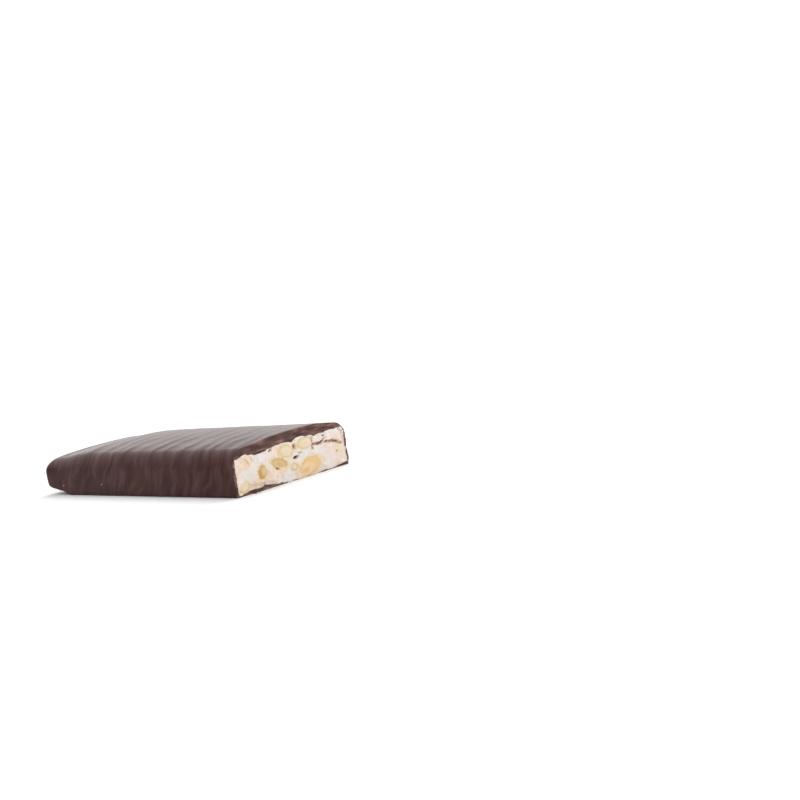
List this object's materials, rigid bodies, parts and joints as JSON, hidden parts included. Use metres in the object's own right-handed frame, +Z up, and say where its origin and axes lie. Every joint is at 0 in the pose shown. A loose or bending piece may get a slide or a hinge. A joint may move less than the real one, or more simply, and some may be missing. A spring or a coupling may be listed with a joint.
{
  "type": "nougat slice",
  "caption": "Half a flat bar of soft almond nougat coated in dark chocolate, cut across to show the torn pale filling.",
  "frame": {"origin": "centre of the bounding box's base, on the surface that the bar lies on", "axes": "+X along the bar towards its cut end, +Y across it to its far side, +Z up"},
  "size_m": [0.0959, 0.0467, 0.0151],
  "materials": {
    "dark_chocolate": "dark chocolate, satin and finely rippled",
    "nougat": "soft white nougat, torn and matt",
    "almond": "blanched almond, cut"
  },
  "bodies": {
    "root": {"chocolate_coating": "dark_chocolate", "nougat_filling": "nougat", "almond_1": "almond", "almond_2": "almond", "almond_3": "almond", "almond_4": "almond", "almond_5": "almond", "almond_6": "almond", "almond_7": "almond"}
  },
  "joints": []
}
